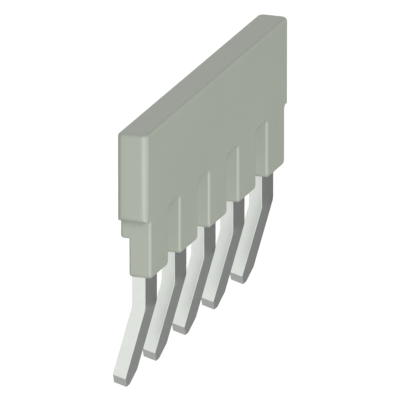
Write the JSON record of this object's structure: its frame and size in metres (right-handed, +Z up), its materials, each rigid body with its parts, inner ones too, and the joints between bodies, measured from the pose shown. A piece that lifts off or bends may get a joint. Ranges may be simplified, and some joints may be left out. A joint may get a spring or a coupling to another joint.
{
  "type": "terminal block jumper",
  "caption": "Plug-in jumper for a terminal block: a flat grey insulating bar with a row of teeth, moulded round a bent metal comb whose legs bridge neighbouring terminals.",
  "frame": {"origin": "middle of the row and of the metal sheet's thickness, on the plane of the block's underside", "axes": "+X along the row, -Y to the front face, +Z up from the legs to the pressed top; the legs lean to +Y at their tips"},
  "size_m": [0.0294, 0.0033, 0.019],
  "materials": {
    "moulded_polyamide": "fine moulded satin",
    "tinned_copper": "satin tin plating on stamped copper"
  },
  "bodies": {
    "root": {"housing": "moulded_polyamide", "contact_comb": "tinned_copper"}
  },
  "joints": []
}
